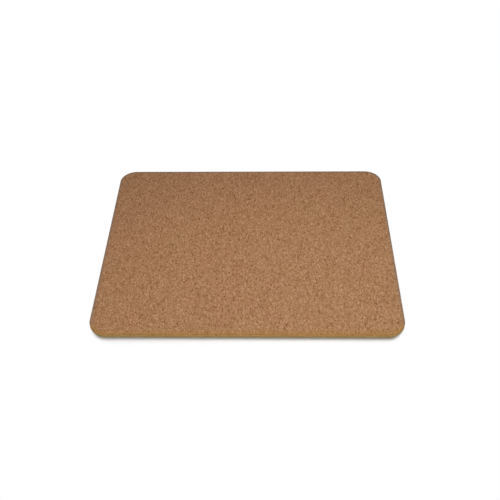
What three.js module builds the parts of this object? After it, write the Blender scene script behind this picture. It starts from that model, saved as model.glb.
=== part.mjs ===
// Mouse pad: a sheet of fine-grained cork, glued to a tan rubber base by a thin film and punched
// out with it as one rectangle with rounded corners.
// Millimetres, +Z up. The origin is the middle of the underside, +X runs along the long edge and
// +Y runs away from the user.
import * as THREE from "three";
import { toCreasedNormals } from "three/addons/utils/BufferGeometryUtils.js";

// Driving dimensions
const PAD_WIDTH = 220;
const PAD_DEPTH = 180;
const CORNER_RADIUS = 13;
const BASE_THICKNESS = 2;
const FILM_THICKNESS = 0.1;
const CORK_THICKNESS = 0.9;

// Rounding of the cork's upper rim, where hands rub it, and of the base's lower rim
const CORK_RIM_RADIUS = 0.3;
const BASE_RIM_RADIUS = 0.2;

// Fineness of the round stretches, in steps to a quarter turn
const CORNER_STEPS = 16;
const RIM_STEPS = 4;

const QUARTER_TURN = Math.PI / 2;
const CREASE_ANGLE = Math.PI / 5;

// Points of the pad's outline, drawn in all round by an inset, anticlockwise from above. Each
// corner is a quarter circle about a centre that stays where it is.
function outline(inset) {
  const centreX = PAD_WIDTH / 2 - CORNER_RADIUS;
  const centreY = PAD_DEPTH / 2 - CORNER_RADIUS;
  const radius = CORNER_RADIUS - inset;
  const frontRight = [centreX, -centreY];
  const backRight = [centreX, centreY];
  const backLeft = [-centreX, centreY];
  const frontLeft = [-centreX, -centreY];
  return [frontRight, backRight, backLeft, frontLeft].flatMap(([x, y], corner) => {
    const start = (corner - 1) * QUARTER_TURN;
    const arc = new THREE.EllipseCurve(x, y, radius, radius, start, start + QUARTER_TURN);
    return arc.getPoints(CORNER_STEPS);
  });
}

// Section of an edge that is rounded over at the top, from the upright wall up and inwards.
function upperRim(top, radius) {
  return Array.from({ length: RIM_STEPS + 1 }, (_, step) => {
    const angle = (step / RIM_STEPS) * QUARTER_TURN;
    return {
      inset: radius * (1 - Math.cos(angle)),
      z: top - radius * (1 - Math.sin(angle)),
    };
  });
}

// The same section turned over: from the flat underside out and up to the wall.
function lowerRim(radius) {
  const rim = upperRim(0, radius).map(({ inset, z }) => ({ inset, z: -z }));
  return rim.reverse();
}

// A closed sheet whose edge follows a section, listed from the underside up, all round the outline.
function sheetGeometry(section) {
  const loops = section.map(({ inset, z }) => {
    return outline(inset).map((point) => new THREE.Vector3(point.x, point.y, z));
  });
  const count = loops[0].length;
  const top = (loops.length - 1) * count;
  const triangles = [];
  for (let start = 0; start < top; start += count) {
    for (let i = 0; i < count; i++) {
      const here = start + i;
      const next = start + ((i + 1) % count);
      triangles.push(here, next, next + count, here, next + count, here + count);
    }
  }
  for (const [a, b, c] of THREE.ShapeUtils.triangulateShape(outline(0), [])) {
    triangles.push(a, c, b, top + a, top + b, top + c);
  }
  const geometry = new THREE.BufferGeometry().setFromPoints(loops.flat());
  geometry.setIndex(triangles);
  return toCreasedNormals(geometry, CREASE_ANGLE);
}

// One layer of the pad, lying on what is below it.
function layer(name, section, height, material) {
  const mesh = new THREE.Mesh(sheetGeometry(section), material);
  mesh.name = name;
  mesh.position.z = height;
  return mesh;
}

const mousePad = new THREE.Group();

// Rubber base
const gumRubber = new THREE.MeshStandardMaterial({ color: 0xb28a4c, roughness: 0.7, metalness: 0 });
const baseSection = [...lowerRim(BASE_RIM_RADIUS), { inset: 0, z: BASE_THICKNESS }];
mousePad.add(layer("rubber_base", baseSection, 0, gumRubber));

// Adhesive film
const driedGlue = new THREE.MeshStandardMaterial({ color: 0xcdb27a, roughness: 0.4, metalness: 0 });
const filmSection = [
  { inset: 0, z: 0 },
  { inset: 0, z: FILM_THICKNESS },
];
mousePad.add(layer("adhesive_film", filmSection, BASE_THICKNESS, driedGlue));

// Cork sheet
const fineCork = new THREE.MeshStandardMaterial({ color: 0xa37a58, roughness: 0.9, metalness: 0 });
const corkSection = [{ inset: 0, z: 0 }, ...upperRim(CORK_THICKNESS, CORK_RIM_RADIUS)];
mousePad.add(layer("cork_sheet", corkSection, BASE_THICKNESS + FILM_THICKNESS, fineCork));

export default mousePad;
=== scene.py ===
"""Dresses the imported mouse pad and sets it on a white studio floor.

The pad is a laminate of three layers: fine-grained cork, a film of dried glue and a base of tan gum
rubber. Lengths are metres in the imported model's frame: +X along the pad's long edge, +Y away from the
user, +Z up, with the origin at the middle of the underside.
"""

import logging
import math
from dataclasses import dataclass
from enum import Enum
from typing import Any, ClassVar, Self

import bpy
import numpy as np
from mathutils import Matrix, Vector
from numpy.typing import NDArray

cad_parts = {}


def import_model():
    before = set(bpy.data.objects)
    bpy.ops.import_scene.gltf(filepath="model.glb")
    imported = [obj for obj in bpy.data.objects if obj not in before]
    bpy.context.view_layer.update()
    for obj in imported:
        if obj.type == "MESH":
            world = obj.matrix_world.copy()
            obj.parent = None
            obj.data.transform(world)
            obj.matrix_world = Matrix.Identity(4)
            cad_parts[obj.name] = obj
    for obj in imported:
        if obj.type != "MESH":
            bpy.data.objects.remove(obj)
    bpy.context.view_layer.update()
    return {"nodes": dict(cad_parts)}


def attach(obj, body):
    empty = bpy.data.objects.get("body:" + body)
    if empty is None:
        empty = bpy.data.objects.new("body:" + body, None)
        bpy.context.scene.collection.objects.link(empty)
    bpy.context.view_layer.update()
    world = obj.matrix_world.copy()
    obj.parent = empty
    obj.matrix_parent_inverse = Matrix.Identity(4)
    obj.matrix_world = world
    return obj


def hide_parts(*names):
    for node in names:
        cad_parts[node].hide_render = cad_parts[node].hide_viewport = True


Floats = NDArray[np.float64]
Indices = NDArray[np.int64]
Colour = tuple[float, float, float, float]
Triple = tuple[float, float, float]
Span = tuple[float, float]
Stops = tuple[tuple[float, str], ...]
Tree = bpy.types.NodeTree
Socket = bpy.types.NodeSocket

LOG = logging.getLogger("mouse_pad")
BODY = "root"
MM = 0.001
# How near two places are that count as one
TOLERANCE = 0.001 * MM
IMAGE_WIDTH_PX = 500
SENSOR_WIDTH_MM = 36.0
# Angle between faces from which an edge is drawn sharp
SHARP_EDGE = math.radians(50)
# Name of the map that a baked picture is laid on, its margin, and the hidden back's scale on it
FACE_MAP = "OFBake"
MAP_MARGIN = 0.005
BACK_MAP_SCALE = 0.12
# Levels between which most of a noise pattern lies
NOISE_SPREAD = {"From Min": 0.3, "From Max": 0.7}


class Facing(Enum):
    """Which way a layer's open face looks."""

    UP = 1
    DOWN = -1


class Layer(Enum):
    """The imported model's nodes."""

    CORK = "cork_sheet"
    GLUE = "adhesive_film"
    RUBBER = "rubber_base"


class Slot(Enum):
    """Material slots named for the new pieces; the script does not read them."""

    CORK = "cork"
    RUBBER = "rubber"


class Mark(Enum):
    """Mesh attributes that tell a finish how the surface was treated, and where shade is painted."""

    CUT = "cut"
    # Painted shade: the rim at the sides and back drawn greyer and darker.
    PAINTED_RIM_SHADE = "dust"
    RUB = "rub"


def linear(code: str) -> Colour:
    """Turns an sRGB hex colour into linear light.

    A channel at or below 0.04045 is divided by 12.92; any other is raised as ((c + 0.055) / 1.055) to
    the power 2.4.

    Args:
        code: Six hex digits after a hash sign.

    Returns:
        Red, green, blue and a full alpha.
    """
    channels = np.array([int(code[start : start + 2], 16) for start in (1, 3, 5)]) / 255
    low = channels / 12.92
    high = ((channels + 0.055) / 1.055) ** 2.4
    red, green, blue = np.where(channels <= 0.04045, low, high)
    return float(red), float(green), float(blue), 1.0


def add_node(
    tree: Tree,
    kind: str,
    inputs: dict[str | int, Any] | None = None,
    stops: Stops = (),
    **settings: Any,
) -> bpy.types.Node:
    """Adds one node with its options, its input values and its links.

    Args:
        tree: Node tree that the node joins.
        kind: Blender's name for the node, less the ShaderNode that it starts with.
        inputs: Value of each input by name or number; an output socket is linked instead of copied.
        stops: Places and hex colours of a colour ramp, where the node has one.
        settings: Options of the node itself.

    Returns:
        The new node.
    """
    node = tree.nodes.new("ShaderNode" + kind)
    for name, value in settings.items():
        setattr(node, name, value)
    for key, value in (inputs or {}).items():
        if isinstance(value, Socket):
            tree.links.new(value, node.inputs[key])
        else:
            node.inputs[key].default_value = value
    for number, (place, code) in enumerate(stops):
        elements = node.color_ramp.elements
        element = elements[number] if number < len(elements) else elements.new(place)
        element.position = place
        element.color = linear(code)
    return node


def new_material(name: str) -> tuple[bpy.types.Material, Tree]:
    """Makes an empty node material.

    Args:
        name: What the real material is and how its surface was made.

    Returns:
        The material and its bare node tree.
    """
    material = bpy.data.materials.new(name)
    material.use_nodes = True
    material.node_tree.nodes.clear()
    return material, material.node_tree


def new_object(name: str, data: bpy.types.ID) -> bpy.types.Object:
    """Makes an object at the origin and adds it to the scene.

    Args:
        name: Its name.
        data: Its mesh, light or camera.

    Returns:
        The object.
    """
    made = bpy.data.objects.new(name, data)
    bpy.context.scene.collection.objects.link(made)
    return made


def per_metre(size_mm: float) -> float:
    """Texture scale at which one cell of a pattern is as wide as the size."""
    return 1 / (size_mm * MM)


@dataclass(frozen=True)
class SandedCork:
    """Fine-grained agglomerated cork, pressed in a block, sliced and sanded matte.

    Granules of many browns lie packed in a mosaic, with darker lines of binder between them, finer ones
    filling the gaps and a few specks of dark bark. The eye sees a dry, speckled surface with no gloss.

    Attributes:
        granule_mm: Width of the larger granules.
        filler_mm: Width of the finer granules that fill in between.
        filler_share: Share of the mosaic that is finer granules.
        stretch: How much longer granules and clumps are along the pad's depth, the way of the slicing.
        wander_mm: How far the borders of the granules wander.
        browns: Colours by tone. Few granules are very dark or pale young cork; most are middle browns.
        golden: Colours by tone on the punched wall, where the granules are freshly cut.
        clump_mm: Width of the clumps that the granules stick together in.
        clump_fall: Distances from a clump's middle, in widths, between which the tone falls.
        clump_lift: How much the tone is raised in a clump's middle, and lowered at its border.
        bark_mm: Width of the specks of bark.
        bark_share: Share of the mosaic that is bark.
        bark: Colour of the bark.
        seam_width: Width of the binder on each side of a border, in granules.
        seam_share: How much the colour goes over to binder at most.
        binder: Colour of the binder.
        cell_mm: Width of the cork's own cells, drawn coarser than the real 0.04 mm so that they show.
        cell_shade: Brightness of the darkest and the palest cells.
        cell_dryness: Roughness of the smoothest and the driest cells.
        patch_mm: Width of the patches over which the hue drifts.
        patch_hue: Hue of the pinkest and the yellowest patches, where 0.5 is no change.
        light_tint_per_metre: Painted tint of the light, as how much the hue turns to yellow in each metre
            along X, Y and Z.
        relief_mm: Height of the granules over the sanded face.
        dust: Colour of the painted shade, a dark grey, on the rim at the sides and back.
        painted_shade_share: How much the rim's colour goes over to painted shade at most.
        rubbed: Colour of the front rim where it is rubbed.
        rub_share: How much the front rim's colour goes over to rubbed cork at most.
    """

    granule_mm: float = 0.72
    filler_mm: float = 0.36
    filler_share: float = 0.4
    stretch: float = 1.8
    wander_mm: float = 0.16
    browns: Stops = (
        (0.0, "#855932"),
        (0.12, "#946842"),
        (0.4, "#9F734D"),
        (0.65, "#A77B55"),
        (0.9, "#B18560"),
        (1.0, "#BD916D"),
    )
    golden: Stops = ((0.0, "#AA783B"), (0.5, "#C38D4A"), (1.0, "#D6A15D"))
    clump_mm: float = 1.35
    clump_fall: Span = (0.2, 0.9)
    clump_lift: float = 0.26
    bark_mm: float = 0.8
    bark_share: float = 0.025
    bark: str = "#7A4F2A"
    seam_width: float = 0.1
    seam_share: float = 0.4
    binder: str = "#764D2B"
    cell_mm: float = 0.16
    cell_shade: Span = (0.9, 1.1)
    cell_dryness: Span = (0.78, 0.95)
    patch_mm: float = 24.0
    patch_hue: Span = (0.498, 0.502)
    # Painted light: the hue leans yellower to the front right and pinker to the back left, as a tint of
    # the light.
    light_tint_per_metre: Triple = (0.0168, -0.0213, 0.0)
    relief_mm: float = 0.04
    # Painted shade: the dark grey that the rim at the sides and back is drawn in.
    dust: str = "#6C645B"
    painted_shade_share: float = 0.55
    rubbed: str = "#A07329"
    rub_share: float = 0.48

    def material(self) -> bpy.types.Material:
        """Builds the material on Object coordinates and the sheet's own marks.

        Returns:
            The material, whose relief rises with the granules' tones and sinks at the seams.
        """
        material, tree = new_material("agglomerated cork, sanded")
        place = add_node(tree, "TexCoord").outputs["Object"]
        laid = add_node(
            tree, "Mapping", {"Vector": place, "Scale": (1.0, 1 / self.stretch, 1.0)}
        ).outputs["Vector"]
        bent = self.bend(tree, laid)
        tone = self.tone(tree, laid, bent)
        seam = self.seam(tree, bent)
        cells = add_node(
            tree, "TexNoise", {"Vector": place, "Scale": per_metre(self.cell_mm), "Detail": 2.0}
        ).outputs["Fac"]
        shade, dryness = (
            add_node(
                tree, "MapRange", {"Value": cells, **NOISE_SPREAD, "To Min": least, "To Max": most}
            ).outputs["Result"]
            for least, most in (self.cell_shade, self.cell_dryness)
        )
        colour = self.mosaic(tree, bent, tone, seam)
        sanded = add_node(
            tree, "HueSaturation", {"Hue": self.hue(tree, place), "Value": shade, "Color": colour}
        ).outputs["Color"]
        height = add_node(tree, "Math", {0: tone, 1: seam}, operation="SUBTRACT").outputs["Value"]
        grain = add_node(
            tree, "Bump", {"Height": height, "Strength": 0.6, "Distance": self.relief_mm * MM}
        ).outputs["Normal"]
        shader = add_node(
            tree,
            "BsdfPrincipled",
            {
                "Base Color": self.shade_and_rub(tree, sanded),
                "Roughness": dryness,
                "Normal": grain,
                "IOR": 1.45,
                "Specular IOR Level": 0.35,
            },
        )
        add_node(tree, "OutputMaterial", {"Surface": shader.outputs["BSDF"]})
        return material

    def bend(self, tree: Tree, laid: Socket) -> Socket:
        """Adds a wandering of the place, so that the granules' borders aren't straight.

        Args:
            tree: The material's node tree.
            laid: Place on the pad, its depth shrunk by the stretch.

        Returns:
            The place moved by noise, up to the wander along each axis.
        """
        noise = add_node(
            tree, "TexNoise", {"Vector": laid, "Scale": per_metre(self.granule_mm), "Detail": 1.0}
        ).outputs["Color"]
        wander = (self.wander_mm * MM,) * 3
        return add_node(
            tree, "VectorMath", {0: noise, 1: wander, 2: laid}, operation="MULTIPLY_ADD"
        ).outputs["Vector"]

    @staticmethod
    def draws(tree: Tree, bent: Socket, size_mm: float) -> bpy.types.Node:
        """Adds a packing of granules of one size, with random numbers for each granule.

        Args:
            tree: The material's node tree.
            bent: The bent place.
            size_mm: Width of the granules.

        Returns:
            Node whose outputs Red, Green and Blue are the numbers, from 0 to 1.
        """
        packing = add_node(tree, "TexVoronoi", {"Vector": bent, "Scale": per_metre(size_mm)})
        return add_node(tree, "SeparateColor", {"Color": packing.outputs["Color"]})

    def tone(self, tree: Tree, laid: Socket, bent: Socket) -> Socket:
        """Adds the tones of the granules: a random one each, higher in the middle of a clump.

        Args:
            tree: The material's node tree.
            laid: Place on the pad, its depth shrunk by the stretch.
            bent: The bent place.

        Returns:
            The tone, from 0 for dark to 1 for pale, and past them where clumps take it further.
        """
        large = self.draws(tree, bent, self.granule_mm).outputs
        small = self.draws(tree, bent, self.filler_mm).outputs
        filled = add_node(
            tree, "Math", {0: large["Green"], 1: self.filler_share}, operation="LESS_THAN"
        ).outputs["Value"]
        own_tone = add_node(
            tree, "Mix", {"Factor": filled, "A": large["Red"], "B": small["Red"]}
        ).outputs["Result"]
        clumps = add_node(
            tree, "TexVoronoi", {"Vector": laid, "Scale": per_metre(self.clump_mm)}
        ).outputs["Distance"]
        lift = add_node(
            tree,
            "MapRange",
            {
                "Value": clumps,
                "From Min": self.clump_fall[0],
                "From Max": self.clump_fall[1],
                "To Min": self.clump_lift,
                "To Max": -self.clump_lift,
            },
        ).outputs["Result"]
        return add_node(tree, "Math", {0: own_tone, 1: lift}, operation="ADD").outputs["Value"]

    def seam(self, tree: Tree, bent: Socket) -> Socket:
        """Adds the seams of binder between the larger granules.

        Args:
            tree: The material's node tree.
            bent: The bent place.

        Returns:
            Share of binder, which falls from a granule's border to 0 at the seam's width.
        """
        border = add_node(
            tree,
            "TexVoronoi",
            {"Vector": bent, "Scale": per_metre(self.granule_mm)},
            feature="DISTANCE_TO_EDGE",
        ).outputs["Distance"]
        return add_node(
            tree,
            "MapRange",
            {"Value": border, "From Max": self.seam_width, "To Min": self.seam_share, "To Max": 0.0},
        ).outputs["Result"]

    def mosaic(self, tree: Tree, bent: Socket, tone: Socket, seam: Socket) -> Socket:
        """Adds the granules' colours, then lays the cut wall, the bark and the binder over them.

        Args:
            tree: The material's node tree.
            bent: The bent place.
            tone: Tone of the granules.
            seam: Share of binder.

        Returns:
            The colour.
        """
        colour = add_node(tree, "ValToRGB", {"Fac": tone}, self.browns).outputs["Color"]
        golden = add_node(tree, "ValToRGB", {"Fac": tone}, self.golden).outputs["Color"]
        cut = add_node(tree, "Attribute", attribute_name=Mark.CUT.value).outputs["Fac"]
        speck = self.draws(tree, bent, self.bark_mm).outputs["Blue"]
        is_bark = add_node(
            tree, "Math", {0: speck, 1: self.bark_share}, operation="LESS_THAN"
        ).outputs["Value"]
        for share, over in (
            (cut, golden),
            (is_bark, linear(self.bark)),
            (seam, linear(self.binder)),
        ):
            colour = add_node(
                tree, "Mix", {"Factor": share, "A": colour, "B": over}, data_type="RGBA"
            ).outputs["Result"]
        return colour

    def hue(self, tree: Tree, place: Socket) -> Socket:
        """Adds the drift of the brown between pinkish and yellowish in patches, and a painted tint of the
        light across the pad.

        Args:
            tree: The material's node tree.
            place: Place on the pad.

        Returns:
            The hue, where 0.5 is no change.
        """
        noise = add_node(
            tree, "TexNoise", {"Vector": place, "Scale": per_metre(self.patch_mm), "Detail": 1.0}
        ).outputs["Fac"]
        pinkest, yellowest = self.patch_hue
        patches = add_node(
            tree,
            "MapRange",
            {"Value": noise, **NOISE_SPREAD, "To Min": pinkest, "To Max": yellowest},
        ).outputs["Result"]
        # Painted tint of the light across the pad.
        light_tint = add_node(
            tree, "VectorMath", {0: place, 1: self.light_tint_per_metre}, operation="DOT_PRODUCT"
        ).outputs["Value"]
        return add_node(tree, "Math", {0: patches, 1: light_tint}, operation="ADD").outputs["Value"]

    def shade_and_rub(self, tree: Tree, colour: Socket) -> Socket:
        """Paints shade on the rim at the sides and back in dark grey, and rubs the front rim golden.

        Args:
            tree: The material's node tree.
            colour: Colour of the unworn cork.

        Returns:
            The colour.
        """
        # The first pass paints shade on the rim; the second rubs the front rim golden.
        for mark, most, code in (
            (Mark.PAINTED_RIM_SHADE, self.painted_shade_share, self.dust),
            (Mark.RUB, self.rub_share, self.rubbed),
        ):
            amount = add_node(tree, "Attribute", attribute_name=mark.value).outputs["Fac"]
            share = add_node(
                tree, "Math", {0: amount, 1: most}, operation="MULTIPLY"
            ).outputs["Value"]
            colour = add_node(
                tree, "Mix", {"Factor": share, "A": colour, "B": linear(code)}, data_type="RGBA"
            ).outputs["Result"]
        return colour


@dataclass(frozen=True)
class GumRubber:
    """Natural gum rubber, calendered to sheet and cured.

    It is a warm, slightly cloudy tan with fine dust in it and a dull, waxy gloss. The punch leaves faint
    upright marks on its cut wall.

    Attributes:
        cloud_mm: Width of the cloudy patches.
        tans: Colours of the patches.
        dust_mm: Width of the specks, drawn coarser than real dust so that they show.
        dust_shade: Brightness of the darkest and the palest specks.
        dust_dullness: Roughness of the glossiest and the dullest specks.
        punch_mark_mm: Spacing of the punch's marks.
        punch_depth_mm: Depth of the punch's marks.
        punch_squeeze: Scale of the marks' pattern along Z, which draws them out upright.
    """

    cloud_mm: float = 9.0
    tans: Stops = ((0.25, "#A6874A"), (0.5, "#B09155"), (0.75, "#B99A5F"))
    dust_mm: float = 0.3
    dust_shade: Span = (0.94, 1.05)
    dust_dullness: Span = (0.58, 0.72)
    punch_mark_mm: float = 0.5
    punch_depth_mm: float = 0.05
    punch_squeeze: float = 0.06

    def material(self) -> bpy.types.Material:
        """Builds the material on Object coordinates.

        Returns:
            The material.
        """
        material, tree = new_material("gum rubber, calendered")
        place = add_node(tree, "TexCoord").outputs["Object"]
        clouds = add_node(
            tree, "TexNoise", {"Vector": place, "Scale": per_metre(self.cloud_mm), "Detail": 3.0}
        ).outputs["Fac"]
        tan = add_node(tree, "ValToRGB", {"Fac": clouds}, self.tans).outputs["Color"]
        dust = add_node(
            tree, "TexNoise", {"Vector": place, "Scale": per_metre(self.dust_mm), "Detail": 2.0}
        ).outputs["Fac"]
        shade, dullness = (
            add_node(
                tree, "MapRange", {"Value": dust, **NOISE_SPREAD, "To Min": least, "To Max": most}
            ).outputs["Result"]
            for least, most in (self.dust_shade, self.dust_dullness)
        )
        specked = add_node(tree, "HueSaturation", {"Value": shade, "Color": tan}).outputs["Color"]
        # Drawn out upright, the noise runs as lines on the wall and stays even on the underside.
        upright = add_node(
            tree, "Mapping", {"Vector": place, "Scale": (1.0, 1.0, self.punch_squeeze)}
        ).outputs["Vector"]
        marks = add_node(
            tree,
            "TexNoise",
            {"Vector": upright, "Scale": per_metre(self.punch_mark_mm), "Detail": 3.0},
        ).outputs["Fac"]
        scored = add_node(
            tree, "Bump", {"Height": marks, "Strength": 0.35, "Distance": self.punch_depth_mm * MM}
        ).outputs["Normal"]
        shader = add_node(
            tree,
            "BsdfPrincipled",
            {
                "Base Color": specked,
                "Roughness": dullness,
                "Normal": scored,
                "IOR": 1.52,
                "Specular IOR Level": 0.3,
            },
        )
        add_node(tree, "OutputMaterial", {"Surface": shader.outputs["BSDF"]})
        return material


@dataclass(frozen=True)
class DriedGlue:
    """Dried contact glue, rolled out thin.

    At the edge of the pad it is a hairline of pale amber with small lighter bubbles and some gloss.

    Attributes:
        bubble_mm: Width of the bubbles.
        ambers: Colours of the glue and of its bubbles.
    """

    bubble_mm: float = 0.4
    ambers: Stops = ((0.35, "#A67E42"), (0.65, "#C7A567"))

    def material(self) -> bpy.types.Material:
        """Builds the material on Object coordinates.

        Returns:
            The material.
        """
        material, tree = new_material("contact glue, dried")
        place = add_node(tree, "TexCoord").outputs["Object"]
        bubbles = add_node(
            tree, "TexNoise", {"Vector": place, "Scale": per_metre(self.bubble_mm), "Detail": 2.0}
        ).outputs["Fac"]
        amber = add_node(tree, "ValToRGB", {"Fac": bubbles}, self.ambers).outputs["Color"]
        shader = add_node(
            tree, "BsdfPrincipled", {"Base Color": amber, "Roughness": 0.4, "IOR": 1.48}
        )
        add_node(tree, "OutputMaterial", {"Surface": shader.outputs["BSDF"]})
        return material


@dataclass(frozen=True)
class FaceGrid:
    """Grid of points over an outline, with the loop of points along its border.

    Attributes:
        points: Flat points, row after row from the front, each row from left to right.
        quads: Corners of each square, anticlockwise from above.
        border: Numbers of the border's points, anticlockwise from above.
        outward: Flat direction away from the pad at each border point.
    """

    points: Floats
    quads: Indices
    border: Indices
    outward: Floats


@dataclass(frozen=True)
class Outline:
    """Rounded rectangle that every layer of the pad is punched to.

    Attributes:
        half_width: Half the long side.
        half_depth: Half the short side.
        corner_radius: Radius of the four corners.
    """

    half_width: float
    half_depth: float
    corner_radius: float

    @classmethod
    def of_points(cls, points: Floats) -> Self:
        """Reads the outline from a CAD node's points.

        The corner radius is what half the depth has left past the end of the straight right side.

        Args:
            points: Rows of x, y and z.

        Returns:
            The outline at its widest.
        """
        x, y, _ = points.T
        straight = y[x > x.max() - TOLERANCE].max()
        return cls(x.max(), y.max(), y.max() - straight)

    def grid(self, inset: float, pitch: float) -> FaceGrid:
        """Lays a grid over the outline, drawn in by an inset.

        In the corner zones there is a row at each equal step of the corner's angle: y goes with its sine
        and half the row's width with its cosine. Between them rows are evenly spaced and keep the whole
        width. Every row has the same number of points, evenly spread over its width.

        Args:
            inset: Distance of the grid's border from the outline.
            pitch: Distance between points.

        Returns:
            The grid.
        """
        radius = self.corner_radius - inset
        core_x = self.half_width - self.corner_radius
        core_y = self.half_depth - self.corner_radius
        corner = np.linspace(-math.pi / 2, 0.0, math.ceil(radius * math.pi / 2 / pitch) + 1)
        middle = np.linspace(-core_y, core_y, math.ceil(2 * core_y / pitch) + 1)[1:-1]
        turn = np.concatenate([corner, np.zeros_like(middle), corner + math.pi / 2])
        core = np.concatenate([np.full_like(corner, -core_y), middle, np.full_like(corner, core_y)])
        y = core + radius * np.sin(turn)
        half = core_x + radius * np.cos(turn)
        across = np.linspace(-1.0, 1.0, math.ceil(2 * self.half_width / pitch) + 1)
        points = np.stack([half[:, None] * across, np.repeat(y[:, None], len(across), 1)], axis=-1)
        number = np.arange(len(y) * len(across)).reshape(len(y), len(across))
        quads = np.stack(
            [number[:-1, :-1], number[:-1, 1:], number[1:, 1:], number[1:, :-1]], axis=-1
        )
        border = np.concatenate(
            [number[0], number[1:, -1], number[-1, -2::-1], number[-2:0:-1, 0]]
        )
        side = np.where(np.abs(across) == 1.0, across, 0.0)
        outward_x = side * np.cos(turn)[:, None]
        outward_y = np.repeat(np.sin(turn)[:, None], len(across), 1)
        outward = np.stack([outward_x, outward_y], axis=-1).reshape(-1, 2)
        return FaceGrid(points.reshape(-1, 2), quads.reshape(-1, 4), border, outward[border])

    def depth_inside(self, points: Floats) -> Floats:
        """Works out how far points lie inside the outline.

        With the corner's centre as origin, the distance out of the core rectangle is that to its nearest
        point, or below 0 inside it, and the corner radius less that is the depth.

        Args:
            points: Rows that start with x and y.

        Returns:
            Depth of each point, 0 on the outline.
        """
        core = np.array([self.half_width, self.half_depth]) - self.corner_radius
        past = np.abs(points[:, :2]) - core
        beyond = np.linalg.norm(np.maximum(past, 0.0), axis=1) + np.minimum(past.max(axis=1), 0.0)
        return self.corner_radius - beyond


@dataclass(frozen=True)
class GranuleField:
    """Granules packed in space: one seed point at random in each cell of a cubic lattice.

    Attributes:
        size: Edge of a cell, about the width of a granule.
        seed: Start of the random draws.
    """

    size: float
    seed: int

    def nearest(self, points: Floats) -> tuple[Floats, Floats]:
        """Finds the granule that holds each point.

        The seed points of the 27 cells round each point are tried, and the nearest two distances kept.

        Args:
            points: Rows of x, y and z.

        Returns:
            A random number from 0 to 1 for each point, the same all over a granule, and the second
            distance less the first, in cells, which is 0 where two granules meet.
        """
        place = points / self.size
        low = np.floor(place.min(axis=0)).astype(int) - 1
        count = np.floor(place.max(axis=0)).astype(int) + 2 - low
        lattice = np.random.default_rng(self.seed).random((*count, 4))
        home = np.floor(place).astype(int)
        first = np.full(len(points), np.inf)
        second = np.full(len(points), np.inf)
        draw = np.zeros(len(points))
        for step in np.ndindex(3, 3, 3):
            cell = home + np.array(step) - 1
            seeds = lattice[tuple((cell - low).T)]
            distance = np.linalg.norm(cell + seeds[:, :3] - place, axis=1)
            closer = distance < first
            second = np.where(closer, first, np.minimum(second, distance))
            draw = np.where(closer, seeds[:, 3], draw)
            first = np.where(closer, distance, first)
        return draw, second - first


def node_points(node: bpy.types.Object) -> Floats:
    """Reads a CAD node's own points.

    Args:
        node: The CAD node's object.

    Returns:
        Rows of x, y and z.
    """
    points = np.empty(len(node.data.vertices) * 3, np.float32)
    node.data.vertices.foreach_get("co", points)
    return points.reshape(-1, 3).astype(float)


def smooth_step(value: Floats, start: float, end: float) -> Floats:
    """Eases from 0 at the start to 1 at the end as 3 t squared less 2 t cubed."""
    t = np.clip((value - start) / (end - start), 0.0, 1.0)
    return t * t * (3 - 2 * t)


@dataclass(frozen=True)
class SheetShape:
    """A layer's surface: the points of its face, then the rings of its edge, then its back's middle.

    Attributes:
        points: Place of each point.
        flat: Place of each point when the edge is folded out level with the face, as x and y.
        cut: 0 on the face, rising round the rim to 1 on the wall and the back.
        quads: Corners of each square of the face and the edge.
        fan: Corners of each triangle of the back.
    """

    points: Floats
    flat: Floats
    cut: Floats
    quads: Indices
    fan: Indices


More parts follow.
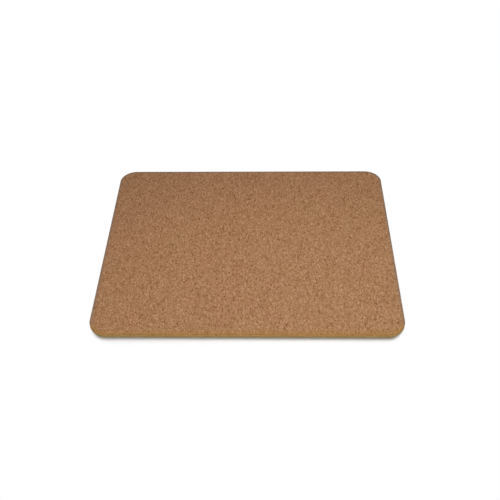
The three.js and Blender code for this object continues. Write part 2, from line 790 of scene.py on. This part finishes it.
@dataclass
class PunchedSheet:
    """One layer of the pad: an open face on a grid, an edge carried round it, and a closed back.

    Attributes:
        facing: Way that the open face looks.
        layer: Node that the layer stands for.
        slot: A material slot named for the layer; not used.
        finish: What it is made of.
        name: The piece's name.
        outline: What the layer is punched to.
        face_z: Height of the open face.
        back_z: Height of the hidden back.
        rim_radius: Radius of the rounding between the face and the wall.
        waist: How far the wall draws in at mid height.
        pitch: Distance between points on the face.
        rim_steps: Rings of points round the rim.
        wall_steps: Rings of points down the wall.
    """

    facing: ClassVar[Facing]
    layer: ClassVar[Layer]
    slot: ClassVar[Slot]
    finish: ClassVar[SandedCork | GumRubber]
    name: str
    outline: Outline
    face_z: float
    back_z: float
    rim_radius: float
    waist: float = 0.0
    pitch: float = 0.7 * MM
    rim_steps: int = 3
    wall_steps: int = 3

    @classmethod
    def of_node(cls, name: str, node: bpy.types.Object) -> Self:
        """Takes a layer's sizes from its CAD node.

        The rim's radius is how far the open face ends inside the outline.

        Args:
            name: The piece's name.
            node: The CAD node's object.

        Returns:
            The layer.
        """
        points = node_points(node)
        x, _, z = points.T
        face_z, back_z = (z.max(), z.min()) if cls.facing is Facing.UP else (z.min(), z.max())
        rim_radius = x.max() - x[np.abs(z - face_z) < TOLERANCE].max()
        return cls(name, Outline.of_points(points), face_z, back_z, rim_radius)

    def section(self) -> tuple[Floats, Floats, Floats]:
        """Works out the section of the edge, from just past the face to the back.

        Round the rim the way out goes with the sine of the angle turned, and the drop with one less its
        cosine. The wall then runs to the back, drawn in by half a sine wave of the waist's height.

        Returns:
            Each ring's way out from the face's border, drop from the face and angle turned.
        """
        turn = np.linspace(0.0, math.pi / 2, self.rim_steps + 1)[1:]
        down = np.linspace(0.0, 1.0, self.wall_steps + 1)[1:]
        wall = abs(self.face_z - self.back_z) - self.rim_radius
        rim_out = self.rim_radius * np.sin(turn)
        rim_drop = self.rim_radius * (1 - np.cos(turn))
        wall_out = self.rim_radius - self.waist * np.sin(math.pi * down)
        wall_drop = self.rim_radius + wall * down
        return (
            np.concatenate([rim_out, wall_out]),
            np.concatenate([rim_drop, wall_drop]),
            np.concatenate([turn, np.full_like(down, math.pi / 2)]),
        )

    def recess(self, points: Floats, cut: Floats) -> Floats:
        """Depth of the surface below its plain form at each point; a plain sheet has none."""
        return np.zeros(len(points))

    def marks(self, points: Floats, cut: Floats) -> dict[Mark, Floats]:
        """Attributes that the finish reads at each point; a plain sheet has only its cut."""
        return {Mark.CUT: cut}

    def shape(self) -> SheetShape:
        """Works out the layer's surface.

        Each ring of the edge is the face's border moved out along its own flat direction and away from
        the face by the section; folded out, it lies away from the face by the way out and the drop. Every
        point then sinks along its surface's direction by the recess. A fan about one middle point closes
        the back.

        Returns:
            The surface.
        """
        grid = self.outline.grid(self.rim_radius, self.pitch)
        face = np.column_stack([grid.points, np.full(len(grid.points), self.face_z)])
        border = face[grid.border]
        outward = np.column_stack([grid.outward, np.zeros(len(border))])
        up = np.array([0.0, 0.0, self.facing.value])
        out, drop, turn = (values[:, None, None] for values in self.section())
        edge = border + outward * out - up * drop
        edge_up = outward * np.sin(turn) + up * np.cos(turn)
        flange = border + outward * (out + drop)
        points = np.concatenate([face, edge.reshape(-1, 3)])
        directions = np.concatenate([np.tile(up, (len(face), 1)), edge_up.reshape(-1, 3)])
        cut = np.concatenate([np.zeros(len(face)), np.repeat(2 * turn / math.pi, len(border))])
        points -= directions * self.recess(points, cut)[:, None]
        points = np.vstack([points, [0.0, 0.0, self.back_z]])
        flat = np.vstack([grid.points, flange.reshape(-1, 3)[:, :2], [0.0, 0.0]])

        rings = len(face) + np.arange(edge.size // 3).reshape(edge.shape[:2])
        loops = np.vstack([grid.border, rings])
        following = np.roll(loops, -1, axis=1)
        walls = np.stack([loops[1:], following[1:], following[:-1], loops[:-1]], axis=-1)
        quads = np.concatenate([grid.quads, walls.reshape(-1, 4)])
        middle = np.full(loops.shape[1], len(points) - 1)
        fan = np.column_stack([following[-1], loops[-1], middle])
        if self.facing is Facing.DOWN:
            quads, fan = quads[:, ::-1], fan[:, ::-1]
        return SheetShape(points, flat, np.append(cut, 1.0), quads, fan)

    def unfold(self, shape: SheetShape) -> Floats:
        """Lays the surface out on its map, so that the open face fills most of it.

        The face and the folded-out edge keep their shape and are scaled to the width of the unit square.
        The hidden back is shrunk into the strip that they leave free. A face that looks down is turned
        over.

        Args:
            shape: The surface.

        Returns:
            Place on the map of each corner of the squares, then of the triangles.
        """
        half = shape.flat.max(axis=0)
        scale = (1 - 2 * MAP_MARGIN) / (2 * half[0])
        face_map = (shape.flat + half) * scale + MAP_MARGIN
        back_map = (shape.points[:, :2] + half) * scale * BACK_MAP_SCALE
        back_map += [MAP_MARGIN, face_map[:, 1].max() + MAP_MARGIN]
        corners = np.concatenate([face_map[shape.quads.ravel()], back_map[shape.fan.ravel()]])
        if self.facing is Facing.DOWN:
            corners[:, 0] = 1 - corners[:, 0]
        return corners

    def build(self) -> bpy.types.Object:
        """Makes the layer's mesh as an object.

        Returns:
            The object, at the origin, with its face map and its marks.
        """
        shape = self.shape()
        mesh = bpy.data.meshes.new(self.name)
        mesh.from_pydata(shape.points.tolist(), [], shape.quads.tolist() + shape.fan.tolist())
        face_map = mesh.uv_layers.new(name=FACE_MAP)
        face_map.uv.foreach_set("vector", self.unfold(shape).astype(np.float32).ravel())
        for mark, values in self.marks(shape.points, shape.cut).items():
            mesh.attributes.new(mark.value, "FLOAT", "POINT").data.foreach_set("value", values)
        mesh.polygons.foreach_set("use_smooth", np.ones(len(mesh.polygons), bool))
        mesh.set_sharp_from_angle(angle=SHARP_EDGE)
        return new_object(self.name, mesh)

    def dress(self, piece: bpy.types.Object) -> None:
        """Gives the layer's object its finish and puts it in its CAD node's place.

        Args:
            piece: The object.
        """
        piece.data.materials.append(self.finish.material())
        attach(piece, BODY)
        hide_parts(self.layer.value)


@dataclass
class CorkSheet(PunchedSheet):
    """The cork that the mouse runs on: sanded flat, with granules torn out here and there.

    Attributes:
        granules: The packing of the granules.
        torn_share: Share of granules that have been torn out of the face.
        crumbled_share: Share that has crumbled away along the rim.
        torn_depth: Depth of the pit that a torn granule leaves.
        pit_slope: Width of a pit's sloping sides, in granules.
        painted_shade_band: Width of the rim that carries painted shade.
        rub_band: Width of the rubbed rim.
    """

    facing: ClassVar[Facing] = Facing.UP
    layer: ClassVar[Layer] = Layer.CORK
    slot: ClassVar[Slot] = Slot.CORK
    finish: ClassVar[SandedCork] = SandedCork()
    granules: GranuleField = GranuleField(size=1.4 * MM, seed=11)
    torn_share: float = 0.06
    crumbled_share: float = 0.2
    torn_depth: float = 0.06 * MM
    pit_slope: float = 0.35
    # Painted shade runs this far in from the rim at the sides and back.
    painted_shade_band: float = 3.0 * MM
    rub_band: float = 5.0 * MM

    def recess(self, points: Floats, cut: Floats) -> Floats:
        """Works out the pits.

        A granule whose draw is under the torn share is a pit. Its depth goes with the square root of how
        far under, so it is deepest for the smallest draws, and its sides ease up to the granule's border.
        On the cut wall the share is larger.

        Args:
            points: Points of the plain surface.
            cut: 0 on the face, rising to 1 on the wall.

        Returns:
            Depth of the surface below its plain form.
        """
        draw, gap = self.granules.nearest(points)
        share = self.torn_share + (self.crumbled_share - self.torn_share) * cut
        torn = np.sqrt(np.clip(1 - draw / share, 0.0, 1.0))
        return self.torn_depth * torn * smooth_step(gap, 0.0, self.pit_slope)

    def marks(self, points: Floats, cut: Floats) -> dict[Mark, Floats]:
        """Works out where shade is painted on the rim and where the rim is rubbed.

        Both fade with the depth inside the outline, and down the wall. The front's share of a point rises
        from 0 where the front corners start to 1 at the rubbed rim; the rubbing goes with it and the
        painted shade with the rest.

        Args:
            points: Points of the surface.
            cut: 0 on the face, rising to 1 on the wall.

        Returns:
            The cut, the painted shade and the rubbing at each point.
        """
        depth = self.outline.depth_inside(points)
        corner = self.outline.half_depth - self.outline.corner_radius
        front = smooth_step(-points[:, 1], corner, self.outline.half_depth - self.rub_band)
        # Painted shade: greyer and darker within the band at the sides and back.
        dust = (1 - smooth_step(depth, 0.0, self.painted_shade_band)) * (1 - front) * (1 - cut)
        rub = (1 - smooth_step(depth, 0.0, self.rub_band)) * front * (1 - cut)
        return {Mark.CUT: cut, Mark.PAINTED_RIM_SHADE: dust, Mark.RUB: rub}


@dataclass
class RubberBase(PunchedSheet):
    """The base that grips the desk: its underside is dimpled all over, inside a plain border.

    Attributes:
        dimple_pitch: Distance between neighbouring dimples.
        dimple_depth: Depth of a dimple.
        dimple_levels: Sums of the waves at a dimple's rim and where its floor starts.
        plain_border: Width of the flat border.
    """

    facing: ClassVar[Facing] = Facing.DOWN
    layer: ClassVar[Layer] = Layer.RUBBER
    slot: ClassVar[Slot] = Slot.RUBBER
    finish: ClassVar[GumRubber] = GumRubber()
    waist: float = 0.06 * MM
    dimple_pitch: float = 5.0 * MM
    dimple_depth: float = 0.25 * MM
    dimple_levels: Span = (0.3, 2.4)
    plain_border: float = 3.0 * MM

    def recess(self, points: Floats, cut: Floats) -> Floats:
        """Works out the dimples.

        Three plane waves at 60 degrees to each other add up to 3 at the middle of each cell of a
        honeycomb and fall to less than 0 between. The dimple eases in over the upper part of that sum,
        and fades out near the edge.

        Args:
            points: Points of the plain surface.
            cut: 0 on the face, rising to 1 on the wall.

        Returns:
            Depth of the surface below its plain form.
        """
        angles = np.radians([90.0, 210.0, 330.0])
        along = points[:, :1] * np.cos(angles) + points[:, 1:2] * np.sin(angles)
        period = self.dimple_pitch * math.sqrt(3) / 2
        waves = np.cos(2 * math.pi * along / period).sum(axis=1)
        half = [self.outline.half_width, self.outline.half_depth]
        room = (half - np.abs(points[:, :2])).min(axis=1)
        fade = smooth_step(room, self.plain_border, 2 * self.plain_border)
        return self.dimple_depth * smooth_step(waves, *self.dimple_levels) * fade * (cut == 0)


@dataclass(frozen=True)
class GlueFilm:
    """The film of glue between the cork and the base: its CAD node, whose shape is right as it is.

    Attributes:
        node: The CAD node's object.
        finish: What it is made of.
    """

    node: bpy.types.Object
    finish: DriedGlue = DriedGlue()

    def dress(self) -> None:
        """Puts the finish in the place of the node's plain material."""
        self.node.data.materials.clear()
        self.node.data.materials.append(self.finish.material())


@dataclass(frozen=True)
class Softbox:
    """A soft square lamp, with a grid before it where its light is to fall off to one side.

    Attributes:
        name: What the lamp does.
        azimuth: Side that it stands on, in degrees from the front, turning to the right.
        elevation: Its height as an angle, in degrees.
        distance: How far it is from the pad's middle.
        width: Its side.
        watts: Its power.
        aim: Point that it faces.
        grid_angle: Angle that the grid lets light out to, in degrees; 180 is no grid.
    """

    name: str
    azimuth: float
    elevation: float
    distance: float
    width: float
    watts: float
    aim: Triple = (0.0, 0.0, 0.0)
    grid_angle: float = 180.0

    def build(self) -> None:
        """Places the lamp on a sphere about the pad's middle, turned to its aim, unseen by the camera."""
        turn, rise = math.radians(self.azimuth), math.radians(self.elevation)
        level, height = self.distance * math.cos(rise), self.distance * math.sin(rise)
        place = Vector((level * math.sin(turn), -level * math.cos(turn), height))
        light = bpy.data.lights.new(self.name, "AREA")
        light.shape = "SQUARE"
        light.size = self.width
        light.spread = math.radians(self.grid_angle)
        light.energy = self.watts
        facing = (Vector(self.aim) - place).to_track_quat("-Z", "Y")
        lamp = new_object(self.name, light)
        lamp.matrix_world = Matrix.Translation(place) @ facing.to_matrix().to_4x4()
        lamp.visible_camera = False


@dataclass(frozen=True)
class PhotoCamera:
    """The camera at the photograph's viewing angle.

    Attributes:
        pitch: How far it looks down, in degrees.
        yaw: How far it is turned to the left of the pad's +Y, in degrees.
        roll: How far it is tipped about its own line of sight, in degrees.
        distance: From the camera to its target.
        target: Point at the middle of the picture.
        focal_px: Focal length in pixels of the picture.
        nearest: Distance from which things show.
    """

    pitch: float = 44.1
    yaw: float = 1.85
    roll: float = -1.3
    distance: float = 0.578
    target: Triple = (0.00111, -0.00363, 0.0)
    focal_px: float = 750.6
    nearest: float = 0.01

    def build(self) -> None:
        """Places the camera and makes it the scene's own.

        Unturned, a camera looks straight down with +Y at the top. It is drawn back from its target,
        rolled, tipped up to the pitch and turned by the yaw, which is the order from the last factor on.
        """
        data = bpy.data.cameras.new("photo_camera")
        data.sensor_width = SENSOR_WIDTH_MM
        data.lens = self.focal_px / IMAGE_WIDTH_PX * SENSOR_WIDTH_MM
        data.clip_start = self.nearest
        camera = new_object("photo_camera", data)
        camera.matrix_world = (
            Matrix.Translation(self.target)
            @ Matrix.Rotation(math.radians(self.yaw), 4, "Z")
            @ Matrix.Rotation(math.radians(90.0 - self.pitch), 4, "X")
            @ Matrix.Rotation(math.radians(self.roll), 4, "Z")
            @ Matrix.Translation((0.0, 0.0, self.distance))
        )
        bpy.context.scene.camera = camera


@dataclass(frozen=True)
class Studio:
    """White floor, even surrounding light and softboxes.

    Attributes:
        outline: The pad's outline, round which the floor keeps its shadow.
        lamps: The softboxes.
        surround: Level of the light from all round, where 1 is white.
        floor_size: Side of the floor.
        shadow_shift: How far the rectangle of floor that keeps its shadow is moved to the front.
        shadow_inset: How far that rectangle ends short of the pad's left and right sides.
        white_room: Distance out of that rectangle over which the floor fades to white.
        paper: Colour of the floor.
        white: Colour of the surroundings.
    """

    outline: Outline
    lamps: tuple[Softbox, ...]
    surround: float = 0.12
    floor_size: float = 12.0
    shadow_shift: float = 3.0 * MM
    shadow_inset: float = 5.0 * MM
    white_room: float = 4.5 * MM
    paper: str = "#F7F7F7"
    white: str = "#FFFFFF"

    def build(self) -> None:
        """Makes the floor, the world and the lamps."""
        self.build_floor()
        self.build_world()
        for lamp in self.lamps:
            lamp.build()

    @staticmethod
    def seen(tree: Tree) -> Socket:
        """Adds nodes that tell seeing rays, straight, mirrored or through glass, from lighting ones.

        Args:
            tree: Node tree that they join.

        Returns:
            Socket that is 1 for a seeing ray and 0 for a lighting one.
        """
        path = add_node(tree, "LightPath").outputs
        seeing = path["Is Camera Ray"]
        for ray in ("Is Glossy Ray", "Is Transmission Ray"):
            seeing = add_node(
                tree, "Math", {0: seeing, 1: path[ray]}, operation="MAXIMUM"
            ).outputs["Value"]
        return seeing

    def build_world(self) -> None:
        """Sets a world that is white to look at and lights the pad at the surround's level."""
        world = bpy.data.worlds.new("white_surround")
        world.use_nodes = True
        tree = world.node_tree
        tree.nodes.clear()
        strength = add_node(
            tree, "MapRange", {"Value": self.seen(tree), "To Min": self.surround, "To Max": 1.0}
        ).outputs["Result"]
        sky = add_node(tree, "Background", {"Color": linear(self.white), "Strength": strength})
        add_node(tree, "OutputWorld", {"Surface": sky.outputs["Background"]})
        bpy.context.scene.world = world

    def build_floor(self) -> None:
        """Makes the floor, a flat square whose look is matte white near the pad and pure white beyond."""
        corners = np.array([[-1, -1, 0], [1, -1, 0], [1, 1, 0], [-1, 1, 0]]) * self.floor_size / 2
        mesh = bpy.data.meshes.new("studio_floor")
        mesh.from_pydata(corners.tolist(), [], [(0, 1, 2, 3)])
        mesh.materials.append(self.floor_material())
        floor = new_object("studio_floor", mesh)

    def floor_material(self) -> bpy.types.Material:
        """Builds matte white paper that keeps the shadow near the pad and fades to white away from it.

        The light comes from behind, so the shadow falls to the front. The fade follows the distance out
        of the pad's outline, moved to the front and narrowed: that from the nearest point of its core
        rectangle, less the corner radius.

        Returns:
            The material.
        """
        material, tree = new_material("white paper, matte")
        nought = (0.0, 0.0, 0.0)
        radius = self.outline.corner_radius
        core = (
            self.outline.half_width - radius - self.shadow_inset,
            self.outline.half_depth - radius,
            0.0,
        )
        past_core = add_node(tree, "TexCoord").outputs["Object"]
        for operation, operand in (
            ("ADD", (0.0, self.shadow_shift, 0.0)),
            ("ABSOLUTE", nought),
            ("SUBTRACT", core),
            ("MAXIMUM", nought),
        ):
            past_core = add_node(
                tree, "VectorMath", {0: past_core, 1: operand}, operation=operation
            ).outputs["Vector"]
        away = add_node(tree, "VectorMath", {0: past_core}, operation="LENGTH").outputs["Value"]
        fade = add_node(
            tree,
            "MapRange",
            {"Value": away, "From Min": radius, "From Max": radius + self.white_room},
            interpolation_type="SMOOTHSTEP",
        ).outputs["Result"]
        share = add_node(
            tree, "Math", {0: fade, 1: self.seen(tree)}, operation="MULTIPLY"
        ).outputs["Value"]
        matte = add_node(tree, "BsdfDiffuse", {"Color": linear(self.paper)})
        glow = add_node(tree, "Emission", {"Color": linear(self.white)})
        mixed = add_node(
            tree, "MixShader", {0: share, 1: matte.outputs["BSDF"], 2: glow.outputs["Emission"]}
        )
        add_node(tree, "OutputMaterial", {"Surface": mixed.outputs["Shader"]})
        return material


def main() -> None:
    """Builds the camera, the layers and the studio, and reports each piece."""
    logging.basicConfig(level=logging.INFO, format="%(name)s: %(message)s")
    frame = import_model()
    bpy.context.scene.view_settings.view_transform = "Standard"
    nodes = frame["nodes"]
    PhotoCamera().build()

    cork = CorkSheet.of_node("cork_face", nodes[Layer.CORK.value])
    base = RubberBase.of_node("grip_base", nodes[Layer.RUBBER.value])
    for sheet in (cork, base):
        piece = sheet.build()
        sheet.dress(piece)
        LOG.info("%s: %d faces for %s", piece.name, len(piece.data.polygons), sheet.layer.value)
    film = GlueFilm(nodes[Layer.GLUE.value])
    film.dress()
    LOG.info("%s: the CAD node, dressed", film.node.name)

    back_softbox = Softbox(
        "back_softbox",
        azimuth=158.4,
        elevation=68.9,
        distance=0.55,
        width=0.51,
        watts=2.62,
        aim=(0.02, -0.647, 0.0),
        grid_angle=114.7,
    )
    front_fill = Softbox(
        "front_fill", azimuth=0.0, elevation=16.2, distance=0.75, width=0.3, watts=1.48
    )
    Studio(cork.outline, (back_softbox, front_fill)).build()


if __name__ == "__main__":
    main()
